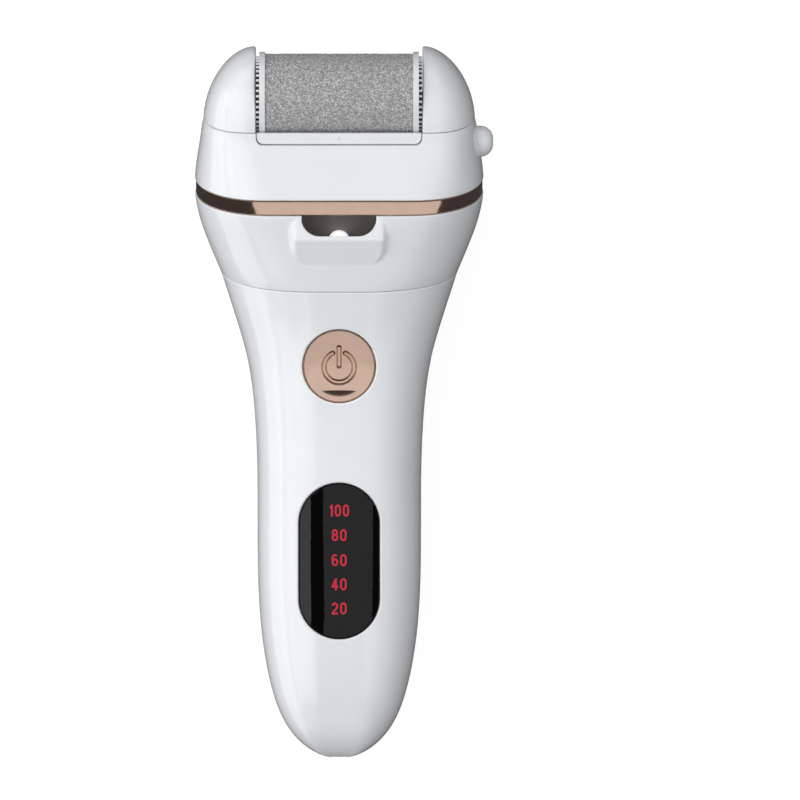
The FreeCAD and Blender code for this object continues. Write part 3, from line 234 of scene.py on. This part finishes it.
# ---- materials ----
def plated(name, colour):
    """Polished rose-gold plating over plastic, with the slightest waviness."""
    made, tree, shader = new_material(name, Metallic=1.0)
    tarnish = noise_field(tree, 3 * MM, 2.0)
    colour_between(tree, shader, tarnish, [(0.35, scaled(colour, 0.96)), (0.65, colour)])
    roughness_between(tree, shader, noise_field(tree, 1.2 * MM, 3.0), 0.10, 0.15)
    bump(tree, shader, noise_field(tree, 4.0 * MM, 1.0), 0.004 * MM)
    return made


def grit_material():
    """Bonded mineral grains, from dark grey to nearly white, in a grey binder."""
    made, tree, shader = new_material("grit", Specular_IOR_Level=0.35)
    grains = cell_field(tree, 0.24 * MM)
    fine = noise_field(tree, 0.25 * MM, 3.0)
    mix = tree.nodes.new("ShaderNodeMath")
    mix.operation = "MULTIPLY_ADD"
    mix.inputs[1].default_value = 0.35
    tree.links.new(fine, mix.inputs[0])
    tree.links.new(grains, mix.inputs[2])
    colour_between(tree, shader, mix.outputs[0],
                   [(0.10, (0.18, 0.18, 0.183)), (0.45, (0.30, 0.30, 0.303)), (0.85, (0.40, 0.40, 0.403)),
                    (1.0, (0.58, 0.58, 0.59))])
    roughness_between(tree, shader, grains, 0.9, 0.45)
    bump(tree, shader, fine, 0.06 * MM)
    return made


def glass_black():
    """Tinted window: black, glossy, with the faintest wave of a moulded lens."""
    made, tree, shader = new_material("black_window", IOR=1.5)
    colour_between(tree, shader, noise_field(tree, 6 * MM, 2.0),
                   [(0.3, (0.002, 0.002, 0.0022)), (0.7, (0.003, 0.003, 0.0034))])
    roughness_between(tree, shader, noise_field(tree, 3 * MM, 2.0), 0.02, 0.04)
    bump(tree, shader, noise_field(tree, 7 * MM, 0.0), 0.002 * MM)
    return made


def board_material():
    """Green solder mask with lighter copper tracks showing through it."""
    made, tree, shader = new_material("board", Roughness=0.35)
    tracks = tree.nodes.new("ShaderNodeTexBrick")
    tracks.inputs["Scale"].default_value = 1.0 / (4 * MM)
    tracks.inputs["Mortar Size"].default_value = 0.06
    tracks.inputs["Color1"].default_value = (0.015, 0.12, 0.04, 1.0)
    tracks.inputs["Color2"].default_value = (0.02, 0.14, 0.05, 1.0)
    tracks.inputs["Mortar"].default_value = (0.06, 0.30, 0.12, 1.0)
    tree.links.new(coordinates(tree), tracks.inputs["Vector"])
    tree.links.new(tracks.outputs["Color"], shader.inputs["Base Color"])
    bump(tree, shader, tracks.outputs["Fac"], 0.02 * MM)
    return made


def wrap_material():
    """Shrink film on the cell: blue, wrinkled along its length."""
    made, tree, shader = new_material("cell_wrap", Coat_Weight=0.4)
    folds = noise_field(tree, 2.2 * MM, 3.0, (1.0, 0.25, 1.0))
    colour_between(tree, shader, folds, [(0.3, (0.03, 0.13, 0.33)), (0.7, (0.05, 0.19, 0.45))])
    roughness_between(tree, shader, folds, 0.2, 0.4)
    bump(tree, shader, folds, 0.08 * MM)
    return made


def winding_material():
    """Rotor: iron laminations with copper wire wound along them."""
    made, tree, shader = new_material("copper", Metallic=1.0)
    wires = tree.nodes.new("ShaderNodeTexWave")
    wires.inputs["Scale"].default_value = 1.0 / (0.5 * MM)
    wires.inputs["Distortion"].default_value = 1.5
    tree.links.new(coordinates(tree), wires.inputs["Vector"])
    colour_between(tree, shader, wires.outputs["Fac"],
                   [(0.2, (0.30, 0.11, 0.05)), (0.8, (0.72, 0.34, 0.18))])
    roughness_between(tree, shader, wires.outputs["Fac"], 0.45, 0.3)
    bump(tree, shader, wires.outputs["Fac"], 0.1 * MM)
    return made


def lamp_material():
    """Milky epoxy lens of the lamp, lit from inside."""
    made, tree, shader = new_material("lamp_clear", Emission_Color=(0.93, 0.96, 1.0, 1.0),
                                      Emission_Strength=0.75, Coat_Weight=1.0)
    colour_between(tree, shader, noise_field(tree, 1.5 * MM, 2.0),
                   [(0.3, (0.86, 0.87, 0.90)), (0.7, (0.93, 0.94, 0.96))])
    roughness_between(tree, shader, noise_field(tree, 0.8 * MM, 2.0), 0.08, 0.16)
    return made


def numeral_material():
    """Red light of the display's numbers."""
    made, tree, shader = new_material("numeral_red", Emission_Color=(0.72, 0.012, 0.045, 1.0),
                                      Emission_Strength=0.62, Coat_Weight=0.6)
    colour_between(tree, shader, noise_field(tree, 0.5 * MM, 2.0),
                   [(0.3, (0.30, 0.010, 0.025)), (0.7, (0.42, 0.016, 0.04))])
    roughness_between(tree, shader, noise_field(tree, 0.5 * MM, 2.0), 0.25, 0.4)
    return made


def floor_material():
    """Pale floor with a light of its own, so that its tone is even."""
    made, tree, shader = new_material("pale_floor", Roughness=0.9, Emission_Color=(1.0, 1.0, 1.0, 1.0),
                                      Emission_Strength=0.86)
    shader.inputs["Specular IOR Level"].default_value = 0.0
    colour_between(tree, shader, noise_field(tree, 0.2, 2.0),
                   [(0.3, (0.26, 0.26, 0.26)), (0.7, (0.28, 0.28, 0.28))])
    return made


def all_materials():
    across = (8.0, 0.5, 0.5)
    return {
        "white_shell": moulded("white_shell", (0.85, 0.868, 0.895), 0.16, 0.02,
                               Coat_Weight=0.3, Coat_Roughness=0.05),
        "white_roller_end": moulded("white_roller_end", (0.80, 0.815, 0.835), 0.18, 0.03),
        "white_inner": moulded("white_inner", (0.82, 0.82, 0.80), 0.45, 0.04),
        "rose_gold": plated("rose_gold", (0.86, 0.61, 0.49)),
        "grit": grit_material(),
        "black_window": glass_black(),
        "steel": brushed("steel", (0.62, 0.62, 0.63), 0.25, across),
        "dark_steel": brushed("dark_steel", (0.38, 0.38, 0.39), 0.35, across),
        "nylon": moulded("nylon", (0.86, 0.85, 0.79), 0.42, 0.05, Subsurface_Weight=0.05),
        "bronze": brushed("bronze", (0.60, 0.42, 0.22), 0.4, (1.0, 1.0, 1.0), 0.3),
        "black_plastic": moulded("black_plastic", (0.035, 0.035, 0.04), 0.4, 0.2),
        "board": board_material(),
        "nickel": brushed("nickel", (0.68, 0.66, 0.62), 0.22, (1.0, 8.0, 1.0)),
        "cell_wrap": wrap_material(),
        "copper": winding_material(),
        "magnet": moulded("magnet", (0.13, 0.125, 0.125), 0.5, 0.3, 0.01),
        "lamp_clear": lamp_material(),
        "red_wire": moulded("red_wire", (0.50, 0.02, 0.02), 0.35, 0.1),
        "pocket": moulded("lamp_pocket", (0.24, 0.225, 0.21), 0.35, 0.1),
        # painted shade: near-black on the white gear's roots and flanks, for the shadow between the teeth
        "painted_tooth_shade": moulded("painted_tooth_shade", (0.03, 0.03, 0.03), 0.6, 0.1),
        # painted highlight: brighter, faintly glowing white on the shell's fillets round the button and
        # window holes
        "mouth_painted_highlight": moulded("mouth_painted_highlight", (0.96, 0.97, 0.98), 0.15, 0.02,
                              Emission_Color=(1.0, 1.0, 1.0, 1.0), Emission_Strength=0.15),
    }


def paint_frame(looks):
    """Every CAD node gets the procedural material of its slot, found by its packed material's name."""
    for node in nodes.values():
        for position, given in enumerate(node.data.materials):
            slot = given.name.split(".")[0]
            node.data.materials[position] = looks[slot]


def head_place(point):
    """Height and depth of a point in the head's own frame."""
    local = Matrix.Rotation(-HEAD_TILT, 3, "X") @ (point - HEAD_ORIGIN)
    return local.y, local.z


def darken_pocket(looks):
    """The lamp pocket's walls, behind its white lip, are dark."""
    collar = nodes["head_collar"]
    collar.data.materials.append(looks["pocket"])
    for face in collar.data.polygons:
        height, depth = head_place(face.center)
        inside = abs(face.center.x) < POCKET_HALF and POCKET_BOTTOM < height < POCKET_TOP
        if inside and POCKET_BACK < depth < POCKET_LIP:
            face.material_index = len(collar.data.materials) - 1


def paint_mouth_highlights(looks):
    """The rounded mouths round the button and the window are painted brighter than the shell and glow
    faintly: a painted highlight for the light their fillets catch.
    """
    shell = nodes["front_shell"]
    shell.data.materials.append(looks["mouth_painted_highlight"])
    outlines = []
    for name in ("power_button", "display_window"):
        low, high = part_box(name)
        wide = (high.x - low.x) / 2
        outlines.append(((low + high) / 2, wide, (high.y - low.y) / 2 - wide))
    for face in shell.data.polygons:
        for centre, wide, straight in outlines:
            offset = face.center - centre
            offset.y -= max(-straight, min(straight, offset.y))
            outward = Vector((offset.x, offset.y))
            near = abs(outward.length - wide) < MOUTH_REACH and abs(offset.z) < MOUTH_LEVEL
            lean = outward.normalized().dot(face.normal.xy)
            if near and lean < MOUTH_LEAN and face.normal.z > MOUTH_NORMAL:
                face.material_index = len(shell.data.materials) - 1


def paint_tooth_shade(looks):
    """Each roller end is painted dark between and behind the light tips of its teeth: painted shade for
    the shadow in the deep gaps of the white gear.
    """
    for name in ("roller_hub_left", "roller_hub_right"):
        hub = nodes[name]
        low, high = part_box(name)
        centre = (low + high) / 2
        hub.data.materials.append(looks["painted_tooth_shade"])
        rim = [face for face in hub.data.polygons if abs(face.center.x) > TOOTHED_FROM]
        reaches = [math.hypot(face.center.y - centre.y, face.center.z - centre.z) for face in rim]
        for face, reach in zip(rim, reaches):
            if reach < max(reaches) - TOOTH_TIP:
                face.material_index = len(hub.data.materials) - 1


# ---- new pieces ----
def mesh_object(name, points, faces, look, sharp_angle):
    mesh = bpy.data.meshes.new(name)
    mesh.from_pydata(points, [], faces)
    mesh.validate()
    mesh.materials.append(look)
    mesh.shade_smooth()
    mesh.set_sharp_from_angle(angle=sharp_angle)
    made = bpy.data.objects.new(name, mesh)
    bpy.context.scene.collection.objects.link(made)
    return made


def ring_faces(first, second, count):
    """Quads between two rings of count points that start at these indices."""
    faces = []
    for i in range(count):
        j = (i + 1) % count
        faces.append((first + i, first + j, second + j, second + i))
    return faces


def grain_height(point):
    """Height of the grit here: every grain is a tilted facet with its own level."""
    distances, centres = noise.voronoi(point / GRAIN)
    level = noise.cell_vector(centres[0] * 9.7)
    lean = noise.cell_vector(centres[0] * 5.3 + Vector((3.0, 7.0, 1.0))) - Vector((0.5, 0.5, 0.5))
    facet = (point / GRAIN - centres[0]).dot(lean)
    edge = min(1.0, (distances[1] - distances[0]) / 0.25)
    return GRAIN_HEIGHT * max(0.0, min(1.0, 0.25 + 0.5 * level.x + 0.7 * facet)) * (0.35 + 0.65 * edge)


def grit_sleeve(look):
    """Closed sleeve whose outside is covered in real grains."""
    low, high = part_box("grit_sleeve")
    centre = (low + high) / 2
    outer = (high.z - low.z) / 2
    length = high.x - low.x
    around = int(2 * math.pi * outer / GRIT_STEP)
    along = int(length / GRIT_STEP)
    spokes = [2 * math.pi * j / around for j in range(around)]
    outward = [Vector((0.0, math.cos(angle), math.sin(angle))) for angle in spokes]
    axis = Vector((0.0, centre.y, centre.z))
    points = []
    for i in range(along + 1):
        x = low.x + length * i / along
        for out in outward:
            base = Vector((x, 0.0, 0.0)) + out * (outer - GRAIN_HEIGHT)
            points.append(base + out * grain_height(base) + axis)
    for x in (high.x, low.x):
        points += [Vector((x, 0.0, 0.0)) + out * (outer - SLEEVE_WALL) + axis for out in outward]
    faces = []
    rings = along + 3
    for ring in range(rings):
        faces += ring_faces(ring * around, (ring + 1) % rings * around, around)
    made = mesh_object("grit_grains", points, faces, look, math.radians(25.0))
    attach(made, "roller")
    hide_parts("grit_sleeve")


def smooth_step(value):
    value = max(0.0, min(1.0, value))
    return value * value * (3 - 2 * value)


def surface_fit(node, centre, radius):
    """A smooth quartic in x and y through the top of a CAD node."""
    powers = [(i, j) for i in range(0, 5, 2) for j in range(5 - i)]
    rows, heights = [], []
    steps = 14
    for i in range(-steps, steps + 1):
        for j in range(-steps, steps + 1):
            x, y = i / steps, j / steps
            if x * x + y * y > 1:
                continue
            origin = Vector((centre.x + x * radius, centre.y + y * radius, 1.0))
            hit, place, _, _ = node.ray_cast(origin, Vector((0.0, 0.0, -1.0)))
            if hit:
                rows.append([x ** p * y ** q for p, q in powers])
                heights.append(place.z)
    factors = np.linalg.lstsq(np.array(rows), np.array(heights), rcond=None)[0]

    def height(x, y):
        return float(sum(f * (x / radius) ** p * (y / radius) ** q for f, (p, q) in zip(factors, powers)))

    return height


def stroke_distance(x, y):
    """Distance from a point on the button's face to the middle line of the power symbol."""
    ring_y = y - SYMBOL_LIFT
    angle = math.atan2(x, ring_y)
    if abs(angle) < SYMBOL_GAP:
        end = math.copysign(SYMBOL_GAP, angle)
        to_ring = math.hypot(x - SYMBOL_RADIUS * math.sin(end), ring_y - SYMBOL_RADIUS * math.cos(end))
    else:
        to_ring = abs(math.hypot(x, ring_y) - SYMBOL_RADIUS)
    bar_y = y - BAR_LIFT
    to_bar = math.hypot(x, max(0.0, abs(bar_y) - BAR_HALF))
    return min(to_ring, to_bar)


def button_carving(x, y):
    """Depth cut into the button's face: the symbol's groove, and a shallow thumb dish at the foot."""
    inside = (GROOVE_HALF - stroke_distance(x, y)) / (GROOVE_HALF - GROOVE_FLOOR)
    groove = GROOVE_DEPTH * smooth_step(inside)
    chord = math.sqrt(max(0.0, DISH_RADIUS ** 2 - x * x))
    reach = max(0.0, chord + min(y, DISH_LOW))
    dish = DISH_SLOPE * reach ** 2 / (2 * (DISH_RADIUS + DISH_LOW))
    return groove + dish * (1.0 if y < DISH_LOW else smooth_step(y / DISH_LOW))


def button_profile(flange, bottom):
    """Radius, level and drop of each ring from the face to the stem's foot; no level follows the face."""
    flat_radius = BUTTON_RADIUS - BUTTON_EDGE
    rings = [(flat_radius * i / FACE_RINGS, None, 0.0) for i in range(1, FACE_RINGS + 1)]
    for step in range(1, EDGE_RINGS + 1):
        turn = math.radians(90.0 * step / EDGE_RINGS)
        radius = flat_radius + BUTTON_EDGE * math.sin(turn)
        rings.append((radius, None, BUTTON_EDGE * (1 - math.cos(turn))))
    levels = [(BUTTON_RADIUS, FLANGE_TOP), (flange, FLANGE_TOP), (flange, FLANGE_BOTTOM),
              (STEM_RADIUS, FLANGE_BOTTOM), (STEM_RADIUS, bottom)]
    return rings + [(radius, level, 0.0) for radius, level in levels]


def power_button(look):
    """Round cap that follows the handle, with the symbol engraved in its face."""
    low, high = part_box("power_button")
    centre = (low + high) / 2
    surface = surface_fit(nodes["power_button"], centre, BUTTON_FIT_RADIUS)
    around = BUTTON_SPOKES
    profile = button_profile(high.x - centre.x, low.z)
    points = [Vector((centre.x, centre.y, surface(0.0, 0.0)))]
    for radius, level, drop in profile:
        for i in range(around):
            angle = 2 * math.pi * i / around
            x, y = radius * math.sin(angle), radius * math.cos(angle)
            height = surface(x, y) - button_carving(x, y) - drop if level is None else level
            points.append(Vector((centre.x + x, centre.y + y, height)))
    points.append(Vector((centre.x, centre.y, low.z)))
    faces = [(0, 1 + (i + 1) % around, 1 + i) for i in range(around)]
    for ring in range(len(profile) - 1):
        faces += ring_faces(1 + ring * around, 1 + (ring + 1) * around, around)
    last = len(points) - 1
    final = 1 + (len(profile) - 1) * around
    faces += [(last, final + i, final + (i + 1) % around) for i in range(around)]
    made = mesh_object("power_button_cap", points, faces, look, math.radians(40.0))
    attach(made, "power")
    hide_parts("power_button")
    return made


def arc(x, y, wide, tall, start, stop):
    """Points along part of an ellipse, in degrees anticlockwise from its right end."""
    turns = [math.radians(start + (stop - start) * i / ARC_STEPS) for i in range(ARC_STEPS + 1)]
    return [(x + wide * math.cos(turn), y + tall * math.sin(turn)) for turn in turns]


def digit_strokes(digit):
    """Middle lines of the strokes of a plain 0, 1, 2, 4, 6 or 8, in a box one wide and one high."""
    if digit == "0":
        return [arc(0.5, 0.7, 0.5, 0.3, 0, 180) + arc(0.5, 0.3, 0.5, 0.3, 180, 360) + [(1.0, 0.7)]]
    if digit == "1":
        return [[(0.0, 0.74), (1.0, 0.97)], [(1.0, 1.08), (1.0, -0.1)]]
    if digit == "2":
        return [arc(0.5, 0.72, 0.5, 0.28, 170, -30) + [(0.0, 0.05)], [(-0.2, 0.0), (1.15, 0.0)]]
    if digit == "4":
        return [[(0.72, -0.1), (0.72, 1.08)], [(0.66, 1.0), (0.0, 0.3)], [(-0.16, 0.27), (1.2, 0.27)]]
    if digit == "6":
        return [arc(0.5, 0.7, 0.5, 0.3, 40, 180) + [(0.0, 0.3)], arc(0.5, 0.3, 0.5, 0.3, 0, 360)]
    return [arc(0.5, 0.755, 0.44, 0.245, 0, 360), arc(0.5, 0.27, 0.5, 0.27, 0, 360)]


def ribbon(line, first):
    """Points and faces of a closed flat bar along a line: four points at each point of the line."""
    looped = math.dist(line[0], line[-1]) < NUMERAL_LIFT
    count = len(line)
    points = []
    for i, (x, y) in enumerate(line):
        before = line[i - 1] if i else line[-2 if looped else 0]
        after = line[i + 1] if i + 1 < count else line[1 if looped else -1]
        along = Vector((after[0] - before[0], after[1] - before[1])).normalized() * NUMERAL_STROKE / 2
        points += [(x - along.y, y + along.x, 1), (x + along.y, y - along.x, 1),
                   (x + along.y, y - along.x, -1), (x - along.y, y + along.x, -1)]
    faces = []
    for i in range(count - 1):
        faces += ring_faces(first + 4 * i, first + 4 * i + 4, 4)
    last = first + 4 * (count - 1)
    faces += [(first + 3, first + 2, first + 1, first), (last, last + 1, last + 2, last + 3)]
    return points, faces


def numeral(text, y, width, look):
    """One lit number of the display, laid on the window's surface."""
    ones = text.count("1")
    gaps = NUMERAL_SPACE * (len(text) - 1)
    digit_width = (width - gaps - NARROW_DIGIT * ones) / (len(text) - ones)
    window = nodes["display_window"]
    points, faces = [], []
    left = -width / 2
    for digit in text:
        across = NARROW_DIGIT if digit == "1" else digit_width
        for stroke in digit_strokes(digit):
            line = [(left + NUMERAL_STROKE / 2 + px * (across - NUMERAL_STROKE),
                     y + (py - 0.5) * (NUMERAL_HEIGHT - NUMERAL_STROKE)) for px, py in stroke]
            more, sides = ribbon(line, len(points))
            points += more
            faces += sides
        left += across + NUMERAL_SPACE
    laid = []
    for px, py, side in points:
        _, place, _, _ = window.ray_cast(Vector((px, py, 1.0)), Vector((0.0, 0.0, -1.0)))
        laid.append(Vector((px, py, place.z + side * NUMERAL_LIFT)))
    made = mesh_object(f"numeral_{text}", laid, faces, look, math.radians(30.0))
    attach(made, "handle")
    return made


# ---- floor, light and camera ----
def pale_floor():
    """Wide floor at the object's lowest point, seen by the camera only."""
    corners = ((-FLOOR_HALF, -FLOOR_HALF), (FLOOR_HALF, -FLOOR_HALF), (FLOOR_HALF, FLOOR_HALF),
               (-FLOOR_HALF, FLOOR_HALF))
    points = [Vector((x, y, cad_box[0].z)) for x, y in corners]
    made = mesh_object("floor", points, [(0, 1, 2, 3)], floor_material(), math.pi)
    made.visible_diffuse = False
    made.visible_glossy = False
    made.visible_shadow = False


def linked(light, receivers, left_out):
    """Limits a light to some objects, or keeps it off some."""
    if not receivers and not left_out:
        return
    group = bpy.data.collections.new(light.name + "_objects")
    for thing in receivers or left_out:
        group.objects.link(thing)
    if left_out:
        for member in group.collection_objects:
            member.light_linking.link_state = "EXCLUDE"
    light.light_linking.receiver_collection = group


def ceiling_panel(name, across, along, radiance, receivers=(), left_out=(), turn=0.0):
    """Soft panel overhead that covers these angles (degrees from straight up) across and along."""
    x_low, x_high = (CEILING * math.tan(math.radians(angle)) for angle in across)
    y_low, y_high = (CEILING * math.tan(math.radians(angle)) for angle in along)
    data = bpy.data.lights.new(name, "AREA")
    data.shape = "RECTANGLE"
    data.size = x_high - x_low
    data.size_y = y_high - y_low
    data.energy = radiance * 4 * data.size * data.size_y
    light = bpy.data.objects.new(name, data)
    light.location = ((x_low + x_high) / 2, (y_low + y_high) / 2, CEILING)
    light.rotation_euler = (0.0, 0.0, math.radians(turn))
    light.visible_camera = False
    bpy.context.scene.collection.objects.link(light)
    linked(light, receivers, left_out)
    return light


def aimed_panel(name, place, size, radiance, receivers=(), left_out=()):
    """Soft panel at a place, turned to face the object."""
    data = bpy.data.lights.new(name, "AREA")
    data.shape = "RECTANGLE"
    data.size, data.size_y = size
    data.energy = radiance * 4 * size[0] * size[1]
    light = bpy.data.objects.new(name, data)
    light.location = place
    light.rotation_euler = (-Vector(place)).to_track_quat("-Z", "Y").to_euler()
    light.visible_camera = False
    bpy.context.scene.collection.objects.link(light)
    linked(light, receivers, left_out)
    return light


def studio(plated_parts, window_parts):
    """Soft light, stronger from the left, in a dim room, with panels of their own for the mirrors."""
    world = bpy.data.worlds.new("room")
    world.use_nodes = True
    tree = world.node_tree
    path = tree.nodes.new("ShaderNodeLightPath")
    tone = tree.nodes.new("ShaderNodeMapRange")
    tone.inputs["To Min"].default_value = DIM_ROOM
    tone.inputs["To Max"].default_value = PALE_BACKDROP
    tree.links.new(path.outputs["Is Camera Ray"], tone.inputs["Value"])
    tree.links.new(tone.outputs["Result"], tree.nodes["Background"].inputs["Color"])
    bpy.context.scene.world = world
    mirrors = plated_parts + window_parts
    for name, place, size, radiance in SIDE_PANELS:
        aimed_panel(name, place, size, radiance, left_out=mirrors)
    for name, across, along, radiance in CEILING_PANELS:
        ceiling_panel(name, across, along, radiance, left_out=mirrors)
    band, cap = plated_parts
    ceiling_panel("band_panel", (-24, 60), (-50, 8), 0.5, receivers=[band])
    ceiling_panel("button_high", (-50, 50), (-22, -6), 0.54, receivers=[cap])
    ceiling_panel("button_low", (-50, 50), (-50, -22), 0.45, receivers=[cap])
    ceiling_panel("window_middle", (-2.5, 26), (-30, 20), 0.39, receivers=window_parts, turn=3.0)
    ceiling_panel("window_left", (-42, -17), (-30, 20), 0.85, receivers=window_parts)


def camera():
    """Long lens straight above, so that the view is nearly without perspective."""
    data = bpy.data.cameras.new("camera")
    data.lens = LENS
    data.sensor_width = SENSOR
    made = bpy.data.objects.new("camera", data)
    made.location = (CAMERA_X, CAMERA_Y, VIEW_PLANE + VIEW_WIDTH * LENS / SENSOR)
    bpy.context.scene.collection.objects.link(made)
    bpy.context.scene.camera = made


def main():
    looks = all_materials()
    paint_frame(looks)
    darken_pocket(looks)
    paint_tooth_shade(looks)
    paint_mouth_highlights(looks)
    grit_sleeve(looks["grit"])
    cap = power_button(looks["rose_gold"])
    red = numeral_material()
    digits = [numeral(text, y * MM, width * MM, red) for text, y, width in NUMERALS]
    pale_floor()
    studio([nodes["trim_band"], cap], [nodes["display_window"]] + digits)
    camera()
    bpy.context.scene.view_settings.view_transform = "Standard"


main()
